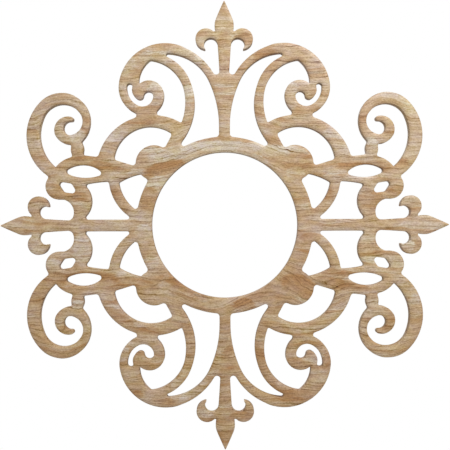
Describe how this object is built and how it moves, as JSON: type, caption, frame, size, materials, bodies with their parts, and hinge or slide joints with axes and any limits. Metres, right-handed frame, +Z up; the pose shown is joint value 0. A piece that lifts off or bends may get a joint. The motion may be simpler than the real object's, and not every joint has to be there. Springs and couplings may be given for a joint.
{
  "type": "ceiling medallion",
  "caption": "Flat pierced wooden ceiling medallion with mirrored scrollwork, pointed leaf finials and a round middle opening for a lamp's canopy.",
  "frame": {"origin": "the middle of the round opening, in the plane of the flat back, which lies against the ceiling", "axes": "+Z up into the ceiling, out of the back; the show face looks down, towards -Z; X and Y are the board's two lines of symmetry, with the grain along X"},
  "size_m": [0.4064, 0.4064, 0.0063],
  "materials": {
    "oak": "pale brown oak, sanded smooth and left matt, with straight grain along X and darker pores and streaks"
  },
  "bodies": {
    "root": {"medallion": "oak"}
  },
  "joints": []
}
